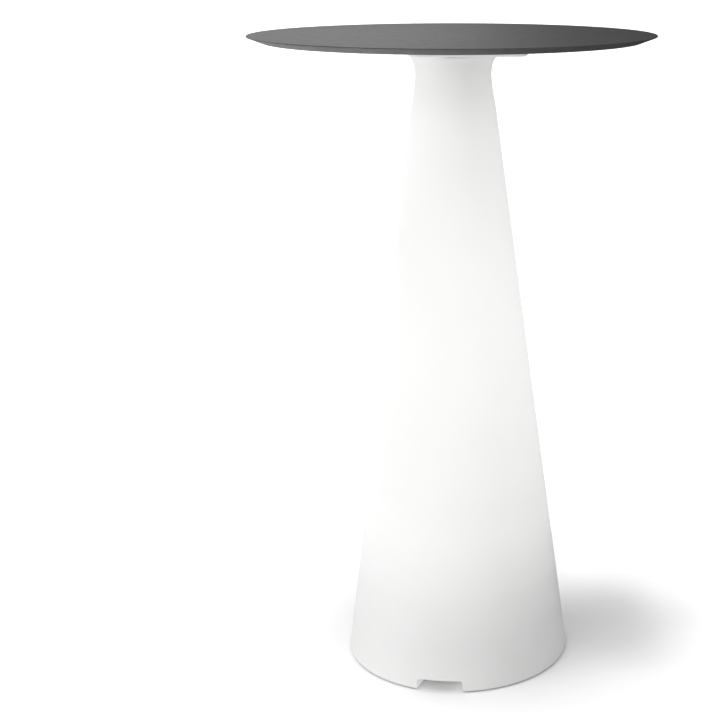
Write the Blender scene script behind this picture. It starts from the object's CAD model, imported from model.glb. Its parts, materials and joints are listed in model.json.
# Looks of the light-up bar table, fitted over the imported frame. Metres, +Z up.
import json
import math

import bmesh
import bpy
from mathutils import Matrix, Vector


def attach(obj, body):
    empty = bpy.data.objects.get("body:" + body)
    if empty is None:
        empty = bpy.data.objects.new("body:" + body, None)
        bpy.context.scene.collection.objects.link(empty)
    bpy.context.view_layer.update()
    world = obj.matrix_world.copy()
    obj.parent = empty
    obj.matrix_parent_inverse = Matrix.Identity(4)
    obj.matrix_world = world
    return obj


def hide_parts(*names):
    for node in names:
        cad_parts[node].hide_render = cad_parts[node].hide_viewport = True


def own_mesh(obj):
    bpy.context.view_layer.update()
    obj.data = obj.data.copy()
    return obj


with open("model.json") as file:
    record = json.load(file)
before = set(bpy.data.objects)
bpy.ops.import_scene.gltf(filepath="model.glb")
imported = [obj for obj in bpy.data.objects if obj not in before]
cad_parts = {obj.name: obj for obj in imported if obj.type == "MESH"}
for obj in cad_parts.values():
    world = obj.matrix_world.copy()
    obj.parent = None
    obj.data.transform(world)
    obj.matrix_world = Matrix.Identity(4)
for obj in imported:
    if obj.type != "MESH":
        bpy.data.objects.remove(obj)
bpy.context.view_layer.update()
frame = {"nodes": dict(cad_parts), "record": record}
nodes = frame["nodes"]

MM = 0.001

# Sizes in millimetres, as in the frame. GAP is the play between touching pieces, and PAST is how far a
# cutter passes the face that it cuts.
GAP = 0.3
PAST = 3.0
SCREW_HOLE = 2.8
BOLT_HOLE = 4.3

# Tabletop: a thin edge band, with a taper on the underside behind it, and holes for inserts (radius, depth)
TOP_Z = 1110.0
TOP_UNDER = 1099.0
TOP_RADIUS = 339.79
TOP_BAND = 1.3
TOP_TAPER = 26.0
INSERT_HOLE = (4.0, 7.0)

# Fixing pan: its middle in x, its half sizes, and its lower edge's rounding in x, in y and at the corners
PAN_TOP = 1098.7
PAN_BOTTOM = 1078.3
PAN_MIDDLE = 25.0
PAN_HALF = (98.0, 77.0)
PAN_CORNER = 16.0
PAN_SHEET = 3.0
PAN_LIP = 18.0
PAN_ROUND = (8.0, 1.5, 3.0)
PAN_ROUND_HEIGHT = 5.0

# Cone shell: radius and height of the cone's end and of the waist, and the neck's flare sideways and upwards
SHELL_TOP = 1078.0
SHELL_BOTTOM = 1.5
SHELL_WALL = 5.0
NECK_WALL = 8.0
FOOT_RADIUS = 200.3
FOOT_ROUND = 4.0
CONE_TOP = (72.6, 983.04)
WAIST = (64.2, 1046.04)
FLARE = (14.0, 30.0)
FLARE_TURN = 0.84 * math.pi / 2

# Cable outlet: half its width, its height, and the radii between which it is cut. Its cut faces glow up to
# CHEEK_HEIGHT.
OUTLET_TURN = math.radians(-9.9)
OUTLET_HALF = 42.0
OUTLET_HEIGHT = 20.4
OUTLET_CORNER = 6.0
OUTLET_SPAN = (140.0, 206.0)
CHEEK_HEIGHT = 20.0

# Base tray: the recess's radius at the floor and at its ceiling, and the bosses (radius, height)
TRAY_TOP = 27.5
CEILING = 46.5
RECESS = (155.0, 150.0)
BALLAST_BOSS = (10.0, 16.0)
COVER_BOSS = (7.0, 10.0)

# Pads: half their width and turn, and their edge as insets at heights
PADS = 5
PAD_HALF_WIDTH = 10.0
PAD_HALF_TURN = math.radians(13)
PAD_EDGE = ((0.35, 0.0), (0.1, 0.1), (0, 0.35), (0, 0.9), (0.15, 1.12), (0.4, 1.2))

# Ballast ring (inner and outer radius), cover with its gasket, and the places of the gland and switch in it
BALLAST = (88.0, 140.0)
BALLAST_Z = (30.2, 46.2)
ACCESS_RADIUS = 62.03
COVER_RADIUS = 82.03
COVER_Z = (39.9, 43.9)
GASKET_THICKNESS = 2.0
GLAND = (-36.0, -22.0)
GLAND_THREAD = 8.0
GLAND_FLANGE = 5.0
SWITCH = (36.0, -22.0)
SWITCH_BARREL = 8.6
SWITCH_BEZEL = 2.6


# Places on a circle, in x and y
def on_circle(radius, count, start=0.0):
    turns = [start + k * 2 * math.pi / count for k in range(count)]
    return [(radius * math.cos(turn), radius * math.sin(turn)) for turn in turns]


TOP_SCREWS = [
    (PAN_MIDDLE + column * (PAN_HALF[0] + PAN_LIP / 2), side * (PAN_HALF[1] + PAN_LIP / 2))
    for side in (-1, 1)
    for column in (-1, 0, 1)
]
NECK_BOLTS = on_circle(38.0, 4, math.pi / 4)
BALLAST_BOLTS = on_circle(114.0, 4, math.pi / 4)
COVER_SCREWS = on_circle(72.78, 4)
MAST_SCREWS = [(-17, 0), (17, 0)]

# Screws: places, height of the head's seat and whether the head is below it, then the head's radius and
# height, the shank's radius and length, the socket's radius and the thread's pitch
SCREWS = {
    "top_screw": (TOP_SCREWS, PAN_TOP - PAN_SHEET - GAP, True, (4.8, 2.8, 2.5, 10.3, 1.8, 0.9)),
    "cover_screw": (COVER_SCREWS, COVER_Z[0] - GAP, True, (4.8, 2.8, 2.5, 16.6, 1.8, 0.9)),
    "mast_screw": (MAST_SCREWS, COVER_Z[0] - GAP, True, (4.8, 2.8, 2.5, 10.3, 1.8, 0.9)),
    "neck_bolt": (NECK_BOLTS, PAN_BOTTOM + PAN_SHEET + GAP, False, (7, 4.6, 4, 20.9, 2.9, 1.25)),
    "ballast_bolt": (BALLAST_BOLTS, BALLAST_Z[0] - GAP, True, (7, 4.6, 4, 32.3, 2.9, 1.25)),
}

# Camera, fitted to the photograph's outline: yaw, pitch and roll in degrees, and its place in metres
CAMERA_TURN = (2.29, 16.04, 0.11)
CAMERA_PLACE = (0, -2.48489, 1.26039)
CAMERA_SENSOR = 36
CAMERA_LENS = 73.009
CAMERA_SHIFT = -0.2111

# Distance of the spots from the table's axis in metres, and the sky's light where it isn't seen
SPOT_DISTANCE = 3.2
SKY = 0.44

# The card that reflections show: radius and height in metres along its profile, with the strength there
CARD_PROFILE = ((0.3, 0.004), (1.6, 0.004), (1.6, 1.25), (1.6, 2.0), (1.6, 3.2))
CARD_STRENGTHS = (1.2, 1.1, 0.35, 1.25, 2.3)
CARD_STEP = 1.5

# Brightness of the card, by degrees from +X towards +Y
CARD_SHADES = (
    (-20.0, 0.0),
    (76.0, 0.0),
    (79.0, 0.10),
    (81.0, 0.18),
    (83.5, 0.30),
    (85.0, 0.50),
    (86.3, 0.70),
    (87.4, 0.92),
    (88.5, 1.12),
    (89.7, 1.24),
    (91.0, 1.32),
    (95.0, 1.40),
    (125.0, 1.40),
)

# Glow of the lit shell: shares of the height, and strength there
GLOW = (
    (0.0, 0.0),
    (0.08, 0.015),
    (0.15, 0.105),
    (0.23, 0.228),
    (0.31, 0.282),
    (0.45, 0.362),
    (0.60, 0.415),
    (0.70, 0.420),
    (0.80, 0.403),
    (0.866, 0.372),
    (0.91, 0.295),
    (0.945, 0.174),
    (0.98, 0.0),
    (1.0, 0.0),
)

# Half the floor's side in metres, and its own tone where it isn't seen
FLOOR_HALF = 60
FLOOR_PALE = 0.88

# Tone of the floor as seen, by distance from the cone's axis in metres. It turns white further out.
FLOOR_TONES = (
    (0.0, 1.12),
    (0.17, 1.1),
    (0.187, 0.98),
    (0.196, 0.88),
    (0.2, 0.92),
    (0.206, 1.03),
    (0.23, 1.07),
    (0.27, 1.15),
    (0.31, 1.23),
    (0.37, 1.32),
    (0.42, 1.42),
    (0.6, 1.9),
)

# The light that fills the shadow on the right: its share of that tone by depth, across and by distance,
# in metres
FILL_BY_DEPTH = (
    (-0.32, 0.0),
    (-0.24, 0.02),
    (-0.18, 0.04),
    (-0.13, 0.02),
    (-0.08, -0.02),
    (-0.03, -0.046),
    (0.03, -0.059),
    (0.09, -0.050),
    (0.14, -0.015),
    (0.18, 0.04),
    (0.22, 0.12),
    (0.26, 0.21),
    (0.31, 0.29),
    (0.37, 0.32),
    (0.44, 0.13),
    (0.5, 0.0),
)
FILL_ACROSS = ((-0.2, 0.0), (0.02, 1.0))
FILL_REACH = ((0.38, 1.0), (0.5, 0.0))

# The same for the shadow's darker middle
CORE_BY_DEPTH = ((-0.14, 0.0), (-0.08, 0.7), (0.0, 1.0), (0.16, 1.15), (0.23, 0.8), (0.3, 0.0))
CORE_ACROSS = (
    (0.14, 0.0),
    (0.2, 0.09),
    (0.23, 0.02),
    (0.26, -0.04),
    (0.3, -0.085),
    (0.33, -0.085),
    (0.36, -0.04),
    (0.4, 0.03),
    (0.45, 0.03),
    (0.5, 0.0),
)

# Colour of the light that pieces give off, and the radii in metres between which the tray's glow rises
LIT_WHITE = (1.0, 0.997, 0.99, 1)
RING_GLOW = (0.152, 0.166)
RING_STRENGTH = 0.05

# Moulded and coated surfaces: darker and lighter tone and roughness, then, where they aren't the usual
# ones, the grain's scale and depth and the scale of the clouds
GRAINED = {
    "white_paint": ((0.88, 0.88, 0.87), (0.92, 0.92, 0.91), (0.34, 0.46), 700.0, 0.00007),
    "white_plastic": ((0.78, 0.78, 0.77), (0.83, 0.83, 0.82), (0.42, 0.55)),
    "opal_plastic": ((0.88, 0.88, 0.86), (0.92, 0.92, 0.9), (0.3, 0.4), 900.0),
    "led_board": ((0.84, 0.84, 0.82), (0.9, 0.9, 0.88), (0.35, 0.5), 900.0),
    "circuit_board": ((0.02, 0.11, 0.045), (0.035, 0.16, 0.07), (0.35, 0.5), 600.0, 0.0001, 160.0),
    "black_plastic": ((0.014, 0.0145, 0.015), (0.024, 0.0245, 0.025), (0.42, 0.58)),
    "rubber": ((0.010, 0.010, 0.011), (0.018, 0.018, 0.019), (0.75, 0.9), 1800.0, 0.00008, 60.0),
    "grey_paint": ((0.23, 0.235, 0.24), (0.29, 0.295, 0.3), (0.5, 0.65), 500.0, 0.0001, 26.0),
    "lead_sheath": ((0.036, 0.037, 0.04), (0.05, 0.051, 0.055), (0.5, 0.65), 1500.0),
    "shell_cut": ((0.86, 0.86, 0.855), (0.89, 0.89, 0.885), (0.48, 0.6)),
    "lit_tray": ((0.80, 0.80, 0.79), (0.85, 0.85, 0.84), (0.42, 0.55)),
}

# Metals: darker and lighter tone, roughness, and how much finer the grain is along each axis
DRAWN = {
    "steel": ((0.52, 0.53, 0.55), (0.64, 0.65, 0.66), (0.24, 0.4), (1, 1, 12)),
    "brass": ((0.55, 0.38, 0.14), (0.66, 0.47, 0.2), (0.22, 0.34), (1, 1, 14)),
    "aluminium": ((0.62, 0.63, 0.64), (0.72, 0.73, 0.74), (0.28, 0.42), (12, 12, 0.4)),
}

# Surfaces that pass light on evenly, with its strength. The shell's cut faces are one of them.
LIT = {"opal_plastic": 0.9, "shell_cut": 0.25}


def make_camera():
    yaw, pitch, roll = (math.radians(a) for a in CAMERA_TURN)
    forward = Vector((math.sin(yaw) * math.cos(pitch), math.cos(yaw) * math.cos(pitch), -math.sin(pitch)))
    right = Vector((math.cos(yaw), -math.sin(yaw), 0))
    up = right.cross(forward)
    x = math.cos(roll) * right + math.sin(roll) * up
    y = -math.sin(roll) * right + math.cos(roll) * up
    data = bpy.data.cameras.new("camera")
    data.sensor_fit = "HORIZONTAL"
    data.sensor_width = CAMERA_SENSOR
    data.lens = CAMERA_LENS
    data.shift_x = CAMERA_SHIFT
    data.clip_start = 0.05
    data.clip_end = 200
    camera = bpy.data.objects.new("camera", data)
    turn = Matrix((x, y, -forward)).transposed().to_4x4()
    camera.matrix_world = Matrix.Translation(CAMERA_PLACE) @ turn
    bpy.context.scene.collection.objects.link(camera)
    bpy.context.scene.camera = camera


# Three soft high suns from the left and the front, and soft spots on the foot, the pan, the cone's right
# edge and the neck
def make_lights():
    add_sun("high_left", energy=0.53, azimuth=75, elevation=70, width=30)
    add_sun("high_front_left", energy=0.30, azimuth=57, elevation=75, width=40)
    add_sun("front", energy=0.45, azimuth=20, elevation=60, width=40)
    add_spot("base_spot", 69, azimuth=57, height=0.9, target=(0, 0, -0.1), reach=0.44, radius=0.25)
    add_spot("base_front_spot", 29, azimuth=35, height=0.9, target=(0, 0, -0.1), reach=0.44, radius=0.25)
    add_spot("pan_spot", 22, azimuth=-35, height=0.5, target=(0.12, -0.07, 1.087), reach=0.075, radius=0.1)
    add_spot("edge_spot", 66, azimuth=-118, height=1.0, target=(0.12, 0, 0.38), reach=0.32, radius=0.25)
    add_spot("neck_spot", 112, azimuth=65, height=0.96, target=(0, 0, 1.1), reach=0.32, radius=0.2)


# An even sky, white as seen and weaker on the object
def make_sky():
    world = bpy.data.worlds.new("studio")
    bpy.context.scene.world = world
    world.cycles.sampling_method = "NONE"
    world.use_nodes = True
    tree = world.node_tree
    background = tree.nodes["Background"]
    background.inputs["Color"].default_value = (1, 1, 1, 1)
    strength = tree.nodes.new("ShaderNodeMapRange")
    strength.inputs["To Min"].default_value = SKY
    strength.inputs["To Max"].default_value = 1.0
    tree.links.new(seen_rays(tree), strength.inputs["Value"])
    tree.links.new(strength.outputs["Result"], background.inputs["Strength"])


# Azimuths run from the front towards the left
def around(azimuth, distance, height):
    turn = math.radians(azimuth)
    return Vector((-math.sin(turn) * distance, -math.cos(turn) * distance, height))


def add_lamp(name, kind, energy, away):
    light = bpy.data.lights.new(name, kind)
    light.energy = energy
    lamp = bpy.data.objects.new(name, light)
    lamp.rotation_mode = "QUATERNION"
    lamp.rotation_quaternion = away.to_track_quat("Z", "Y")
    bpy.context.scene.collection.objects.link(lamp)
    return lamp


def add_sun(name, energy, azimuth, elevation, width):
    rise = math.radians(elevation)
    lamp = add_lamp(name, "SUN", energy, around(azimuth, math.cos(rise), math.sin(rise)))
    lamp.data.angle = math.radians(width)


# A spot whose cone covers a circle of the given reach about its target, with a soft rim
def add_spot(name, energy, azimuth, height, target, reach, radius):
    place = around(azimuth, SPOT_DISTANCE, height)
    away = place - Vector(target)
    lamp = add_lamp(name, "SPOT", energy, away)
    lamp.location = place
    lamp.data.spot_size = 2 * math.atan(reach / away.length)
    lamp.data.spot_blend = 1.0
    lamp.data.shadow_soft_size = radius
    lamp.visible_glossy = False


# A curved card behind and right of the table, on the floor and upright, which only reflections show.
# It is dark on the right and fades to white on the left.
def make_card():
    first, last = CARD_SHADES[0][0], CARD_SHADES[-1][0]
    steps = int((last - first) / CARD_STEP)
    verts, faces, shades = [], [], []
    for k in range(steps + 1):
        degrees = first + (last - first) * k / steps
        turn = math.radians(degrees)
        verts += [(radius * math.cos(turn), radius * math.sin(turn), z) for radius, z in CARD_PROFILE]
        shades += [stepped(CARD_SHADES, degrees) * strength for strength in CARD_STRENGTHS]
    for k in range(steps):
        a, b = len(CARD_PROFILE) * k, len(CARD_PROFILE) * (k + 1)
        faces += [(a + s, b + s, b + s + 1, a + s + 1) for s in range(len(CARD_PROFILE) - 1)]
    mesh = bpy.data.meshes.new("card")
    mesh.from_pydata(verts, [], faces)
    mesh.attributes.new("shade", "FLOAT", "POINT").data.foreach_set("value", shades)
    card = bpy.data.objects.new("card", mesh)
    bpy.context.scene.collection.objects.link(card)
    card.visible_camera = False
    card.visible_diffuse = False
    card.visible_shadow = False
    card.visible_transmission = False
    material = bpy.data.materials.new("card")
    material.use_nodes = True
    tree = material.node_tree
    shade = tree.nodes.new("ShaderNodeAttribute")
    shade.attribute_name = "shade"
    glow = tree.nodes.new("ShaderNodeEmission")
    tree.links.new(shade.outputs["Fac"], glow.inputs["Strength"])
    tree.links.new(glow.outputs[0], tree.nodes["Material Output"].inputs["Surface"])
    mesh.materials.append(material)


# Value of a table of (position, value) pairs at a place between them
def stepped(table, place):
    for (x0, y0), (x1, y1) in zip(table, table[1:]):
        if place <= x1:
            return y0 + (y1 - y0) * (place - x0) / (x1 - x0)
    return table[-1][1]


# Nodes that give a table's value at the place that a socket brings
def tabled(tree, socket, table):
    first, last = table[0][0], table[-1][0]
    values = [value for place, value in table]
    low, high = min(values), max(values)
    share = tree.nodes.new("ShaderNodeMapRange")
    share.inputs["From Min"].default_value = first
    share.inputs["From Max"].default_value = last
    tree.links.new(socket, share.inputs["Value"])
    ramp = tree.nodes.new("ShaderNodeValToRGB")
    tree.links.new(share.outputs["Result"], ramp.inputs["Fac"])
    stops = [((place - first) / (last - first), (value - low) / (high - low)) for place, value in table]
    set_stops(ramp, stops)
    out = tree.nodes.new("ShaderNodeMapRange")
    out.inputs["To Min"].default_value = low
    out.inputs["To Max"].default_value = high
    tree.links.new(ramp.outputs["Color"], out.inputs["Value"])
    return out.outputs["Result"]


# A sum or product of sockets
def computed(tree, operation, *sockets):
    node = tree.nodes.new("ShaderNodeMath")
    node.operation = operation
    for k, socket in enumerate(sockets):
        tree.links.new(socket, node.inputs[k])
    return node.outputs[0]


# Fills a colour ramp with grey (position, value) stops, of which the first is at 0 and the last at 1
def set_stops(ramp, stops):
    elements = ramp.color_ramp.elements
    for element, (position, value) in zip(elements, (stops[0], stops[-1])):
        element.position, element.color = position, (value, value, value, 1)
    for position, value in stops[1:-1]:
        elements.new(position).color = (value, value, value, 1)


# One where the ray comes from the camera, a reflection or a transmission
def seen_rays(tree):
    path = tree.nodes.new("ShaderNodeLightPath")
    first = computed(tree, "MAXIMUM", path.outputs["Is Camera Ray"], path.outputs["Is Glossy Ray"])
    return computed(tree, "MAXIMUM", first, path.outputs["Is Transmission Ray"])


# Floor: white as seen, plain pale for the light that it throws back, and clear from below
def make_floor():
    mesh = bpy.data.meshes.new("floor")
    corners = [(x * FLOOR_HALF, y * FLOOR_HALF, 0) for x, y in ((-1, -1), (1, -1), (1, 1), (-1, 1))]
    mesh.from_pydata(corners, [], [(0, 1, 2, 3)])
    floor = bpy.data.objects.new("floor", mesh)
    bpy.context.scene.collection.objects.link(floor)
    material = bpy.data.materials.new("floor")
    material.use_nodes = True
    tree = material.node_tree
    tree.nodes.remove(tree.nodes["Principled BSDF"])
    place = tree.nodes.new("ShaderNodeTexCoord")
    length = tree.nodes.new("ShaderNodeVectorMath")
    length.operation = "LENGTH"
    tree.links.new(place.outputs["Object"], length.inputs[0])
    parts = tree.nodes.new("ShaderNodeSeparateXYZ")
    tree.links.new(place.outputs["Object"], parts.inputs[0])
    distance, across, depth = length.outputs["Value"], parts.outputs["X"], parts.outputs["Y"]
    plain = tabled(tree, distance, FLOOR_TONES)
    near = computed(tree, "MULTIPLY", tabled(tree, across, FILL_ACROSS), tabled(tree, distance, FILL_REACH))
    core = computed(tree, "MULTIPLY", tabled(tree, depth, CORE_BY_DEPTH), tabled(tree, across, CORE_ACROSS))
    fill = computed(tree, "MULTIPLY_ADD", tabled(tree, depth, FILL_BY_DEPTH), near, core)
    filled = computed(tree, "MULTIPLY_ADD", plain, fill, plain)
    tone = tree.nodes.new("ShaderNodeMix")
    tone.data_type = "FLOAT"
    tone.inputs["A"].default_value = FLOOR_PALE
    tree.links.new(seen_rays(tree), tone.inputs["Factor"])
    tree.links.new(filled, tone.inputs["B"])
    matt = tree.nodes.new("ShaderNodeBsdfDiffuse")
    tree.links.new(tone.outputs["Result"], matt.inputs["Color"])
    clear = tree.nodes.new("ShaderNodeBsdfTransparent")
    side_seen = tree.nodes.new("ShaderNodeNewGeometry")
    mix = tree.nodes.new("ShaderNodeMixShader")
    tree.links.new(side_seen.outputs["Backfacing"], mix.inputs[0])
    tree.links.new(matt.outputs[0], mix.inputs[1])
    tree.links.new(clear.outputs[0], mix.inputs[2])
    tree.links.new(mix.outputs[0], tree.nodes["Material Output"].inputs["Surface"])
    mesh.materials.append(material)


# Mesh helpers. Shapes are written in millimetres.
def new_object(name, verts, faces):
    mesh = bpy.data.meshes.new(name)
    mesh.from_pydata([tuple(c * MM for c in v) for v in verts], [], faces)
    work = bmesh.new()
    work.from_mesh(mesh)
    bmesh.ops.recalc_face_normals(work, faces=work.faces)
    work.to_mesh(mesh)
    work.free()
    obj = bpy.data.objects.new(name, mesh)
    bpy.context.scene.collection.objects.link(obj)
    return obj


# A profile of (radius, height, rounding) points turned about Z. A wave gives the radius by the angle.
def turned(name, points, segments=192, closed=False, steps=4, wave=None):
    profile = soften(points, steps, closed)
    verts, rings = [], []
    for r, z in profile:
        start = len(verts)
        if r < 1e-6:
            verts.append((0, 0, z))
            rings.append([start])
            continue
        for k in range(segments):
            a = 2 * math.pi * k / segments
            radius = r if wave is None else wave(r, z, a)
            verts.append((radius * math.cos(a), radius * math.sin(a), z))
        rings.append(list(range(start, start + segments)))
    pairs = list(zip(rings, rings[1:]))
    if closed:
        pairs.append((rings[-1], rings[0]))
    faces = []
    for low, high in pairs:
        for k in range(segments):
            n = (k + 1) % segments
            if len(low) == 1 and len(high) == 1:
                continue
            if len(low) == 1:
                faces.append((low[0], high[n], high[k]))
            elif len(high) == 1:
                faces.append((low[k], low[n], high[0]))
            else:
                faces.append((low[k], low[n], high[n], high[k]))
    return new_object(name, verts, faces)


# Corners of a profile drawn as arcs
def soften(points, steps=4, closed=False):
    out = []
    count = len(points)
    for i, point in enumerate(points):
        x, y = point[0], point[1]
        rounding = point[2] if len(point) > 2 else 0
        if rounding <= 0 or (not closed and i in (0, count - 1)):
            out.append((x, y))
            continue
        corner = Vector((x, y))
        back = Vector(points[i - 1][:2]) - corner
        ahead = Vector(points[(i + 1) % count][:2]) - corner
        angle = back.angle(ahead)
        reach = min(rounding / math.tan(angle / 2), back.length * 0.49, ahead.length * 0.49)
        radius = reach * math.tan(angle / 2)
        inwards = (back.normalized() + ahead.normalized()).normalized()
        middle = corner + inwards * (radius / math.sin(angle / 2))
        first = corner + back.normalized() * reach - middle
        last = corner + ahead.normalized() * reach - middle
        spread = first.angle(last)
        for s in range(steps + 1):
            t = s / steps
            v = (first * math.sin((1 - t) * spread) + last * math.sin(t * spread)) / math.sin(spread)
            out.append(tuple(middle + v))
    return out


# Loops with equal numbers of points, joined into a closed skin
def stack(name, loops):
    verts = [p for loop in loops for p in loop]
    n = len(loops[0])
    faces = []
    for level in range(len(loops) - 1):
        a, b = level * n, (level + 1) * n
        for k in range(n):
            m = (k + 1) % n
            faces.append((a + k, a + m, b + m, b + k))
    faces.append(tuple(reversed(range(n))))
    faces.append(tuple(range((len(loops) - 1) * n, len(loops) * n)))
    return new_object(name, verts, faces)


def rounded_rectangle(half_x, half_y, corner, z, x, steps=10):
    loop = []
    for sx, sy, start in ((1, -1, -90), (1, 1, 0), (-1, 1, 90), (-1, -1, 180)):
        cx, cy = sx * (half_x - corner), sy * (half_y - corner)
        for s in range(steps + 1):
            a = math.radians(start + 90 * s / steps)
            loop.append((x + cx + corner * math.cos(a), cy + corner * math.sin(a), z))
    return loop


def circle(radius, z, count, x=0.0, y=0.0):
    turns = [k * 2 * math.pi / count for k in range(count)]
    return [(x + radius * math.cos(turn), y + radius * math.sin(turn), z) for turn in turns]


def cylinder(radius, low, high, x=0.0, y=0.0, count=40):
    return stack("cutter", [circle(radius, low, count, x, y), circle(radius, high, count, x, y)])


# Cutters for equal round holes
def drills(radius, low, high, places):
    return [cylinder(radius, low, high, x, y, 32) for x, y in places]


# Cuts the groups of cutters out of an object one after another, or joins them to it, and deletes them
def carve(obj, *groups, operation="DIFFERENCE"):
    for group in groups:
        cutter = merge(group)
        step = obj.modifiers.new("cut", "BOOLEAN")
        step.operation = operation
        step.solver = "EXACT"
        step.object = cutter
        bake(obj)
        bpy.data.objects.remove(cutter)


def merge(objects):
    first = objects[0]
    if len(objects) == 1:
        return first
    work = bmesh.new()
    for other in objects:
        work.from_mesh(other.data)
    work.to_mesh(first.data)
    work.free()
    for other in objects[1:]:
        bpy.data.objects.remove(other)
    return first


def bake(obj):
    depsgraph = bpy.context.evaluated_depsgraph_get()
    mesh = bpy.data.meshes.new_from_object(obj.evaluated_get(depsgraph))
    obj.modifiers.clear()
    obj.data = mesh


# Finishes a piece: shading, look, body, slot and the node that it stands for
def settle(obj, name, slot, node, look=None, body="table", angle=32):
    obj.name = name
    mesh = obj.data
    mesh.polygons.foreach_set("use_smooth", [True] * len(mesh.polygons))
    mesh.set_sharp_from_angle(angle=math.radians(angle))
    mesh.materials.clear()
    mesh.materials.append(looks[look or slot])
    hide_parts(node)
    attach(obj, body)


# A material's nodes. Noise and cells follow the object's own coordinates.
class Tree:
    def __init__(self, name):
        self.material = bpy.data.materials.new(name)
        self.material.use_nodes = True
        self.tree = self.material.node_tree
        self.shader = self.tree.nodes["Principled BSDF"]
        self.place = self.tree.nodes.new("ShaderNodeTexCoord").outputs["Object"]

    def link(self, output, socket):
        self.tree.links.new(output, self.shader.inputs[socket])

    def stretched(self, scale):
        node = self.tree.nodes.new("ShaderNodeMapping")
        node.inputs["Scale"].default_value = scale
        self.tree.links.new(self.place, node.inputs["Vector"])
        return node.outputs["Vector"]

    def noise(self, scale, detail=4.0, roughness=0.55, vector=None):
        node = self.tree.nodes.new("ShaderNodeTexNoise")
        node.inputs["Scale"].default_value = scale
        node.inputs["Detail"].default_value = detail
        node.inputs["Roughness"].default_value = roughness
        self.tree.links.new(vector or self.place, node.inputs["Vector"])
        return node.outputs["Fac"]

    def cells(self, scale):
        node = self.tree.nodes.new("ShaderNodeTexVoronoi")
        node.inputs["Scale"].default_value = scale
        self.tree.links.new(self.place, node.inputs["Vector"])
        return node.outputs["Distance"]

    def span(self, value, low, high, to_low, to_high):
        node = self.tree.nodes.new("ShaderNodeMapRange")
        node.inputs["From Min"].default_value = low
        node.inputs["From Max"].default_value = high
        node.inputs["To Min"].default_value = to_low
        node.inputs["To Max"].default_value = to_high
        self.tree.links.new(value, node.inputs["Value"])
        return node.outputs["Result"]

    # The usual spread of a noise, drawn out between two values
    def spread(self, noise, to_low=0, to_high=1):
        return self.span(noise, 0.3, 0.7, to_low, to_high)

    def mixed(self, factor, first, second):
        node = self.tree.nodes.new("ShaderNodeMix")
        node.data_type = "RGBA"
        self.tree.links.new(factor, node.inputs["Factor"])
        # The node's colours are its inputs 6 and 7, and the mixed one is its output 2
        for socket, value in ((node.inputs[6], first), (node.inputs[7], second)):
            if isinstance(value, tuple):
                socket.default_value = (*value, 1)
            else:
                self.tree.links.new(value, socket)
        return node.outputs[2]

    def bump(self, height, distance, strength=1.0, before=None):
        node = self.tree.nodes.new("ShaderNodeBump")
        node.inputs["Distance"].default_value = distance
        node.inputs["Strength"].default_value = strength
        self.tree.links.new(height, node.inputs["Height"])
        if before is not None:
            self.tree.links.new(before, node.inputs["Normal"])
        return node.outputs["Normal"]

    # An even white light of the surface's own
    def light(self, strength):
        self.shader.inputs["Emission Color"].default_value = LIT_WHITE
        self.shader.inputs["Emission Strength"].default_value = strength


# A moulded or coated surface: cloudy colour, uneven gloss and a fine grain
def grained(name, dark, light, gloss, grain=1400.0, depth=0.00004, cloud=18.0):
    t = Tree(name)
    t.link(t.mixed(t.spread(t.noise(cloud, 5.0)), dark, light), "Base Color")
    t.link(t.spread(t.noise(cloud * 4, 6.0), *gloss), "Roughness")
    t.link(t.bump(t.noise(grain, 3.0), depth, 0.6), "Normal")
    return t


# Metal with a drawn or turned grain
def drawn(name, dark, light, gloss, scale):
    t = Tree(name)
    grain = t.noise(60.0, 6.0, 0.6, t.stretched(scale))
    t.link(t.mixed(t.spread(grain), dark, light), "Base Color")
    t.link(t.spread(t.noise(40.0, 4.0), *gloss), "Roughness")
    t.link(t.bump(grain, 0.00003, 0.5), "Normal")
    t.shader.inputs["Metallic"].default_value = 1.0
    return t


# The tabletop's dark laminate: flecks, clouds, and pores in a slightly uneven face
def laminate():
    t = Tree("laminate")
    fleck = t.span(t.cells(900.0), 0.0, 0.5, 0, 1)
    cloud = t.span(t.noise(7.0, 6.0), 0.35, 0.65, 0, 1)
    fine = t.mixed(fleck, (0.031, 0.0314, 0.0322), (0.041, 0.0414, 0.0422))
    t.link(t.mixed(cloud, fine, (0.037, 0.0374, 0.0382)), "Base Color")
    t.link(t.spread(t.noise(55.0, 8.0, 0.65), 0.50, 0.60), "Roughness")
    pores = t.bump(t.noise(2600.0, 3.0), 0.00003, 0.5)
    t.link(t.bump(t.noise(320.0, 3.0), 0.00004, 0.4, pores), "Normal")
    return t


# The shell's satin plastic, with a glow that follows the height
def glowing_shell():
    t = Tree("glowing_shell")
    cloud = t.spread(t.noise(9.0, 5.0))
    t.link(t.mixed(cloud, (0.868, 0.868, 0.862), (0.892, 0.892, 0.887)), "Base Color")
    t.link(t.spread(t.noise(30.0, 6.0), 0.46, 0.56), "Roughness")
    peel = t.bump(t.noise(420.0, 2.0), 0.00006, 0.5)
    t.link(t.bump(t.noise(2200.0, 3.0), 0.00003, 0.5, peel), "Normal")
    split = t.tree.nodes.new("ShaderNodeSeparateXYZ")
    t.tree.links.new(t.place, split.inputs[0])
    ramp = t.tree.nodes.new("ShaderNodeValToRGB")
    ramp.color_ramp.interpolation = "CARDINAL"
    t.tree.links.new(t.span(split.outputs["Z"], 0, TOP_Z * MM, 0, 1), ramp.inputs["Fac"])
    set_stops(ramp, GLOW)
    t.shader.inputs["Emission Color"].default_value = LIT_WHITE
    t.shader.inputs["Specular IOR Level"].default_value = 0.12
    t.link(ramp.outputs["Color"], "Emission Strength")
    return t


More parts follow.
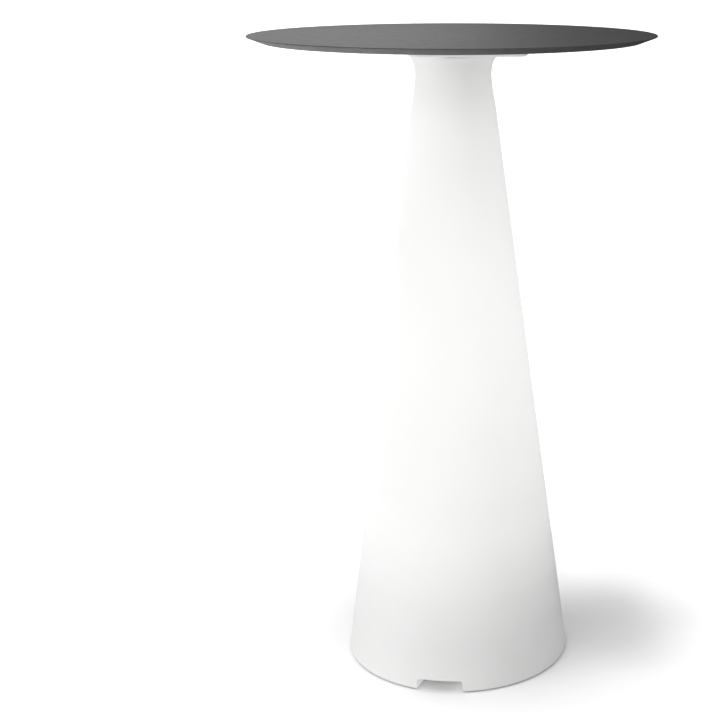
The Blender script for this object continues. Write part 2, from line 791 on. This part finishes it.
# The foot's tray passes some of the light on in its outer ring
def light_ring(t):
    flat = t.tree.nodes.new("ShaderNodeVectorMath")
    flat.operation = "MULTIPLY"
    flat.inputs[1].default_value = (1, 1, 0)
    t.tree.links.new(t.place, flat.inputs[0])
    length = t.tree.nodes.new("ShaderNodeVectorMath")
    length.operation = "LENGTH"
    t.tree.links.new(flat.outputs["Vector"], length.inputs[0])
    t.shader.inputs["Emission Color"].default_value = LIT_WHITE
    t.link(t.span(length.outputs["Value"], *RING_GLOW, 0, RING_STRENGTH), "Emission Strength")


def make_looks():
    trees = {"laminate": laminate(), "glowing_shell": glowing_shell()}
    trees.update({name: grained(name, *values) for name, values in GRAINED.items()})
    trees.update({name: drawn(name, *values) for name, values in DRAWN.items()})
    for name, strength in LIT.items():
        trees[name].light(strength)
    light_ring(trees["lit_tray"])
    return {name: tree.material for name, tree in trees.items()}


def make_top():
    slab = turned(
        "slab",
        [
            (0, TOP_UNDER),
            (TOP_RADIUS - TOP_TAPER, TOP_UNDER, 6),
            (TOP_RADIUS, TOP_Z - TOP_BAND, 0.3),
            (TOP_RADIUS, TOP_Z, 0.4),
            (0, TOP_Z),
        ],
        segments=256,
    )
    radius, depth = INSERT_HOLE
    carve(slab, drills(radius + GAP, TOP_UNDER - PAST, TOP_UNDER + depth + GAP, TOP_SCREWS))
    settle(slab, "top_slab", "laminate", "tabletop", angle=20)


# A level of the pan, grown in x, in y and at its corners, by shares of one measure
def pan_level(grow, z, shares=(1, 1, 1)):
    in_x, in_y, corner = (grow * share for share in shares)
    return rounded_rectangle(PAN_HALF[0] + in_x, PAN_HALF[1] + in_y, PAN_CORNER + corner, z, PAN_MIDDLE)


# Steel pan under the tabletop, drawn from its rounded bottom up to the lip and down again inside
def make_pan():
    levels = []
    for step in range(7):
        a = math.radians(90 * step / 6)
        z = PAN_BOTTOM + PAN_ROUND_HEIGHT * (1 - math.cos(a))
        levels.append(pan_level(math.sin(a) - 1, z, PAN_ROUND))
    under, bend = PAN_TOP - PAN_SHEET, 2
    for step in range(5):
        a = math.radians(90 * step / 4)
        levels.append(pan_level(bend - bend * math.cos(a), under - bend + bend * math.sin(a)))
    edge = ((PAN_LIP - 0.7, 0), (PAN_LIP - 0.2, 0.2), (PAN_LIP, 0.7))
    levels += [pan_level(grow, under + rise) for grow, rise in edge]
    levels += [pan_level(grow, PAN_TOP - drop) for grow, drop in reversed(edge)]
    levels += [pan_level(grow, PAN_TOP - drop) for grow, drop in ((-0.6, 0), (-2.2, 0.5), (-3, 2))]
    levels += [pan_level(grow, PAN_BOTTOM + rise) for grow, rise in ((-3, 6), (-3.6, 4), (-5.5, 3))]
    pan = stack("pan", levels)
    low, high = PAN_BOTTOM - PAST, PAN_BOTTOM + PAN_SHEET + PAST
    bolts = drills(BOLT_HOLE, low, high, NECK_BOLTS)
    screws = drills(SCREW_HOLE, PAN_BOTTOM + 10, PAN_TOP + PAST, TOP_SCREWS)
    carve(pan, [cylinder(11, low, high), *bolts, *screws])
    settle(pan, "pan_steel", "white_paint", "fixing_pan")


# Radius of the cone's straight side
def side_radius(z):
    middle = SHELL_BOTTOM + FOOT_ROUND
    return FOOT_RADIUS + (CONE_TOP[0] - FOOT_RADIUS) * (z - middle) / (CONE_TOP[1] - middle)


# The neck's outline: a smooth curve from the cone to the waist, and the flare above it
def neck_points(inset, highest):
    run = (WAIST[1] - CONE_TOP[1]) / 3
    lean = (FOOT_RADIUS - CONE_TOP[0]) / (CONE_TOP[1] - SHELL_BOTTOM)
    p0 = Vector((CONE_TOP[0] - inset, CONE_TOP[1]))
    p3 = Vector((WAIST[0] - inset, WAIST[1]))
    p1 = Vector((p0.x - run * lean, p0.y + run))
    p2 = Vector((p3.x, p3.y - run))
    points = []
    for k in range(13):
        t = k / 12
        p = (1 - t) ** 3 * p0 + 3 * (1 - t) ** 2 * t * p1 + 3 * (1 - t) * t * t * p2 + t ** 3 * p3
        points.append((p.x, p.y))
    for k in range(1, 15):
        a = math.pi - FLARE_TURN * k / 14
        points.append((p3.x + FLARE[0] + FLARE[0] * math.cos(a), WAIST[1] + FLARE[1] * math.sin(a)))
    kept = [p for p in points if p[1] < highest]
    return [*kept, (kept[-1][0], highest)]


# Cutter for the cable outlet, larger all round by what it is given
def wedge(grow=0.0):
    half, corner = OUTLET_HALF + grow, OUTLET_CORNER + grow
    top = SHELL_BOTTOM + OUTLET_HEIGHT + grow
    shape = [(-half, SHELL_BOTTOM - PAST), (half, SHELL_BOTTOM - PAST)]
    for side, start in ((1, 0), (-1, 90)):
        for s in range(9):
            a = math.radians(start + 90 * s / 8)
            shape.append((side * (half - corner) + corner * math.cos(a), top - corner + corner * math.sin(a)))
    loops = []
    turn = OUTLET_TURN - math.pi / 2
    for radius in OUTLET_SPAN:
        loop = []
        for across, z in shape:
            y = across * radius / FOOT_RADIUS
            x = radius * math.cos(turn) - y * math.sin(turn)
            loop.append((x, radius * math.sin(turn) + y * math.cos(turn), z))
        loops.append(loop)
    return stack("wedge", loops)


# The cone with its rounded foot and its neck, hollowed out, with a ledge over the tray
def make_shell():
    middle = SHELL_BOTTOM + FOOT_ROUND
    profile = [(0, SHELL_BOTTOM)]
    for k in range(9):
        a = -math.pi / 2 + (math.pi / 2 + 0.13) * k / 8
        radius = FOOT_RADIUS - FOOT_ROUND + FOOT_ROUND * math.cos(a)
        profile.append((radius, middle + FOOT_ROUND * math.sin(a)))
    lowest, steps = 10, 20
    for k in range(1, steps):
        z = lowest + (CONE_TOP[1] - lowest) * k / steps
        profile.append((side_radius(z), z))
    rim = neck_points(0, SHELL_TOP)
    profile += rim[:-1]
    edge = rim[-1][0]
    profile += [(edge, SHELL_TOP - 1.0), (edge - 0.3, SHELL_TOP - 0.3), (edge - 1.0, SHELL_TOP)]
    profile.append((0, SHELL_TOP))
    shell = turned("shell", profile, segments=240)

    ceiling = SHELL_TOP - NECK_WALL
    skirt = side_radius(SHELL_BOTTOM) - SHELL_WALL
    ledge, deep = TRAY_TOP + GAP, 4
    inside = [
        (0, SHELL_BOTTOM - PAST),
        (skirt, SHELL_BOTTOM - PAST),
        (skirt, SHELL_BOTTOM),
        (side_radius(ledge) - SHELL_WALL, ledge),
        (side_radius(ledge) - SHELL_WALL - deep, ledge),
        (side_radius(ledge + deep) - SHELL_WALL - deep, ledge + deep),
        (side_radius(ledge + 2 * deep) - SHELL_WALL, ledge + 2 * deep),
        *neck_points(SHELL_WALL, ceiling),
        (0, ceiling),
    ]
    cavity = turned("cavity", inside, segments=120)
    low, high = ceiling - PAST, SHELL_TOP + PAST
    carve(shell, [cavity], [wedge()], [cylinder(12, low, high), *drills(BOLT_HOLE, low, high, NECK_BOLTS)])
    settle(shell, "cone_skin", "glowing_shell", "cone_shell", angle=28)
    light_cheeks(shell.data)


# The outlet's two side faces, where the lit wall is cut through
def light_cheeks(mesh):
    mesh.materials.append(looks["shell_cut"])
    for face in mesh.polygons:
        outwards = Vector((face.center.x, face.center.y, 0)).normalized()
        upright = abs(face.normal.z) < 0.5 and face.center.z < (SHELL_BOTTOM + CHEEK_HEIGHT) * MM
        if upright and abs(face.normal.dot(outwards)) < 0.5:
            face.material_index = 1


# Base tray in the cone's foot: the recess, a ring with a groove round it, and bosses on its ceiling
def make_tray():
    high = CEILING + SHELL_WALL
    slope = (RECESS[0] - RECESS[1]) / (CEILING - SHELL_BOTTOM)

    def rim(z):
        return side_radius(z) - SHELL_WALL - GAP

    def back(z):
        return RECESS[1] + SHELL_WALL + slope * (high - z)

    tray = turned(
        "tray",
        [
            (0, CEILING),
            (RECESS[1], CEILING, 4),
            (RECESS[0], SHELL_BOTTOM, 2.5),
            (rim(SHELL_BOTTOM), SHELL_BOTTOM, 2),
            (rim(TRAY_TOP), TRAY_TOP, 1),
            (back(TRAY_TOP), TRAY_TOP),
            (back(high), high, 3),
            (0, high),
        ],
        segments=120,
    )
    bottom = SHELL_BOTTOM + SHELL_WALL
    inner = rim(TRAY_TOP) - SHELL_WALL
    groove = turned(
        "groove",
        [
            (back(bottom), bottom, 2),
            (inner, bottom, 2),
            (inner, TRAY_TOP + PAST),
            (back(TRAY_TOP), TRAY_TOP + PAST),
            (back(TRAY_TOP), TRAY_TOP),
        ],
        segments=120,
        closed=True,
    )
    carve(groove, [wedge(SHELL_WALL)])
    low = CEILING - 5
    bosses, holes = [], [cylinder(ACCESS_RADIUS, low, high + 4, count=96)]
    for places, (radius, height), hole in (
        (BALLAST_BOLTS, BALLAST_BOSS, BOLT_HOLE),
        (COVER_SCREWS, COVER_BOSS, SCREW_HOLE),
    ):
        bosses += [cylinder(radius, CEILING + 2, high + height, x, y) for x, y in places]
        holes += drills(hole, low, CEILING + height, places)
    carve(tray, bosses, operation="UNION")
    carve(tray, [groove], [wedge()], holes)
    settle(tray, "tray_moulding", "white_plastic", "base_tray", look="lit_tray", angle=28)
    light_cheeks(tray.data)


# Rubber pads under the tray's ring, with eased edges
def make_pads():
    middle = (RECESS[0] + FOOT_RADIUS) / 2
    steps = 36
    for index in range(PADS):
        angle = math.pi / 2 + OUTLET_TURN + index * 2 * math.pi / PADS
        loops = []
        for inset, z in PAD_EDGE:
            half = PAD_HALF_WIDTH - inset
            trim = PAD_HALF_TURN - inset / middle
            loop = []
            for radius, order in ((middle + half, 1), (middle - half, -1)):
                for s in range(steps + 1):
                    a = angle + order * trim * (2 * s / steps - 1)
                    loop.append((radius * math.cos(a), radius * math.sin(a), z))
            loops.append(loop)
        pad = stack("pad", loops)
        settle(pad, f"pad_sole_{index + 1}", "rubber", f"foot_pad_{index + 1}")


def make_ballast():
    low, high = BALLAST_Z
    inner, outer = BALLAST
    corners = [(inner, low, 1.2), (outer, low, 1.2), (outer, high, 1.2), (inner, high, 1.2)]
    ring = turned("ring", corners, segments=160, closed=True)
    carve(ring, drills(BOLT_HOLE, low - PAST, high + PAST, BALLAST_BOLTS))
    settle(ring, "ballast_casting", "grey_paint", "ballast_ring")


# The cover under the foot, with a collar inside and holes for its screws, the mast's, gland and switch
def make_cover():
    low, high = COVER_Z
    collar, rise, thick = ACCESS_RADIUS - 1, 12, 3
    cover = turned(
        "cover",
        [
            (0, low),
            (COVER_RADIUS, low, 1.4),
            (COVER_RADIUS, high),
            (collar, high, 0.8),
            (collar, high + rise, 0.8),
            (collar - thick, high + rise, 0.8),
            (collar - thick, high, 1),
            (0, high),
        ],
        segments=160,
    )
    low, high = low - PAST, high + PAST
    holes = [cylinder(GLAND_THREAD + GAP, low, high, *GLAND)]
    holes.append(cylinder(SWITCH_BARREL + GAP, low, high, *SWITCH))
    holes += drills(SCREW_HOLE, low, high, MAST_SCREWS + COVER_SCREWS)
    carve(cover, holes)
    settle(cover, "cover_moulding", "white_plastic", "access_cover")


def make_gasket():
    low = CEILING - GAP - GASKET_THICKNESS
    high = low + GASKET_THICKNESS
    inner, outer = ACCESS_RADIUS + 1.5, COVER_RADIUS
    corners = [(inner, low, 0.7), (outer, low, 0.7), (outer, high, 0.7), (inner, high, 0.7)]
    gasket = turned("gasket", corners, segments=120, closed=True, steps=3)
    carve(gasket, drills(SCREW_HOLE, low - PAST, high + PAST, COVER_SCREWS))
    settle(gasket, "gasket_ring", "rubber", "cover_gasket")


# A screw with a threaded shank, a domed head and a hexagon socket
def make_screw(head, height, shank, length, socket, thread):
    root = shank * 0.9
    points = [(0, -length), (shank * 0.7, -length), (shank * 0.92, -length + shank * 0.3)]
    z = -length + shank * 0.5
    while z < -thread * 2:
        points += [(shank, z), (shank, z + thread * 0.15)]
        points += [(root, z + thread * 0.5), (root, z + thread * 0.65)]
        z += thread
    points += [(shank * 0.96, -thread), (shank * 0.96, 0)]
    points += [(head * 0.96, 0), (head, height * 0.08), (head, height * 0.42)]
    for k in range(1, 6):
        a = math.radians(90 * k / 5)
        points.append((head * 0.62 + head * 0.38 * math.cos(a), height * (0.42 + 0.58 * math.sin(a))))
    points.append((0, height))
    screw = turned("screw", points, segments=32)
    carve(screw, [stack("hex", [circle(socket, height * 0.4, 6), circle(socket, height + PAST, 6)])])
    return screw


def place_screws(kind, places, z, flipped, sizes):
    pattern = make_screw(*sizes)
    turn = Matrix.Rotation(math.pi, 4, "X") if flipped else Matrix.Identity(4)
    for number, (x, y) in enumerate(places, 1):
        node = f"{kind}_{number}"
        screw = bpy.data.objects.new("screw", pattern.data.copy())
        bpy.context.scene.collection.objects.link(screw)
        screw.data.transform(Matrix.Translation((x * MM, y * MM, z * MM)) @ turn)
        settle(screw, f"fine_{node}", "steel", node)
    bpy.data.objects.remove(pattern)


# Gland and switch are drawn from the lower face of their flange, which sits under the cover
def under_cover(place, flange):
    return Matrix.Translation((place[0] * MM, place[1] * MM, (COVER_Z[0] - GAP - flange) * MM))


# Cable gland with an open bore: a threaded body with a hexagon flange, a ribbed dome nut and a seal
def make_gland():
    shift = under_cover(GLAND, GLAND_FLANGE)
    bore, root, pitch, low, high = 4.2, 7.6, 1.2, -6, 18.3
    points = [(bore, low, 0.4)]
    z = low
    while z < high - GAP:
        points += [(root, z), (GLAND_THREAD, z + 0.35), (GLAND_THREAD, z + 0.6), (root, z + 0.95)]
        z += pitch
    points += [(root, high), (bore, high, 0.4)]
    tube = turned("tube", points, segments=64, closed=True)
    loops = []
    for radius, z in ((11.2, 0), (12, 0.6), (12, GLAND_FLANGE - 0.6), (11.2, GLAND_FLANGE)):
        loops.append([p for k in range(6) for p in hexagon_side(radius, z, k)])
    flange = stack("flange", loops)
    carve(flange, [cylinder(6.4, -PAST, GLAND_FLANGE + PAST)])
    body = merge([tube, flange])
    body.data.transform(shift)
    settle(body, "gland_thread", "black_plastic", "gland_body")

    def ribs(r, z, a):
        deep = 0.35 if r > 11 else 0.0
        return r - deep * max(0.0, math.cos(a * 18)) ** 2

    nut = turned(
        "nut",
        [
            (5.6, -13.3, 0.5),
            (7.6, -13.3, 1.4),
            (11.5, -9.3, 1.2),
            (11.5, -GAP, 0.6),
            (GLAND_THREAD + GAP, -GAP),
            (GLAND_THREAD + GAP, -9.3),
            (5.6, -10.3),
        ],
        segments=144,
        closed=True,
        wave=ribs,
    )
    nut.data.transform(shift)
    settle(nut, "gland_dome_nut", "black_plastic", "gland_nut")

    points = [(3.2, -9.7, 0.4), (6.6, -9.7, 0.5), (8, -8, 0.4), (8, -6.3, 0.2), (3.2, -6.3, 0.4)]
    seal = turned("seal", points, segments=64, closed=True)
    seal.data.transform(shift)
    settle(seal, "gland_grommet", "rubber", "gland_seal")


# A side of a hexagon, short of its corners
def hexagon_side(radius, z, k):
    out = []
    a, b = math.pi * k / 3, math.pi * (k + 1) / 3
    start = Vector((radius * math.cos(a), radius * math.sin(a)))
    end = Vector((radius * math.cos(b), radius * math.sin(b)))
    for share in (0.06, 0.94):
        p = start.lerp(end, share)
        out.append((p.x, p.y, z))
    return out


# Push switch: its case with a bezel, its button, and the spring behind the button
def make_switch():
    shift = under_cover(SWITCH, SWITCH_BEZEL)
    case = turned(
        "case",
        [
            (0, 17),
            (7.2, 17),
            (7.2, 2.2),
            (6.2, 2.2),
            (6.2, 0, 0.4),
            (12, 0, 1.2),
            (12, SWITCH_BEZEL, 0.2),
            (SWITCH_BARREL, SWITCH_BEZEL),
            (SWITCH_BARREL, 24, 0.8),
            (0, 24),
        ],
        segments=96,
    )
    case.data.transform(shift)
    settle(case, "switch_case", "black_plastic", "switch_body")

    button = turned(
        "button",
        [
            (0, -2.25),
            (3.6, -2.35),
            (4.3, -2.55, 0.3),
            (5.9, -2.6, 0.9),
            (5.9, 2.5),
            (6.9, 2.5, 0.2),
            (6.9, 4.3, 0.2),
            (0, 4.3),
        ],
        segments=96,
    )
    button.data.transform(shift)
    settle(button, "switch_button", "white_plastic", "power_button", body="power_button")

    coil, wire, low, high = 4.6, 0.5, 5.1, 16.2
    turns, per_turn, sides = 4, 40, 10
    loops = []
    total = turns * per_turn
    for k in range(total + 1):
        a = 2 * math.pi * k / per_turn
        z = low + (high - low) * k / total
        out = Vector((math.cos(a), math.sin(a), 0))
        loop = []
        for s in range(sides):
            b = 2 * math.pi * s / sides
            loop.append(tuple(out * (coil + wire * math.cos(b)) + Vector((0, 0, z + wire * math.sin(b)))))
        loops.append(loop)
    spring = stack("spring", loops)
    spring.data.transform(shift)
    settle(spring, "switch_spring", "steel", "button_spring")
    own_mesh(spring)


make_camera()
make_lights()
make_sky()
make_floor()
make_card()
looks = make_looks()
make_top()
make_pan()
make_shell()
make_tray()
make_pads()
make_ballast()
make_cover()
make_gasket()
for kind, values in SCREWS.items():
    place_screws(kind, *values)
make_gland()
make_switch()

# The other pieces keep the frame's shape and take their slot's look
slots = {part["node"]: part["material_slot"] for part in frame["record"]["subparts"]}
for name, obj in nodes.items():
    for material_slot in obj.material_slots:
        material_slot.material = looks[slots[name]]

scene = bpy.context.scene
scene.view_settings.view_transform = "Standard"
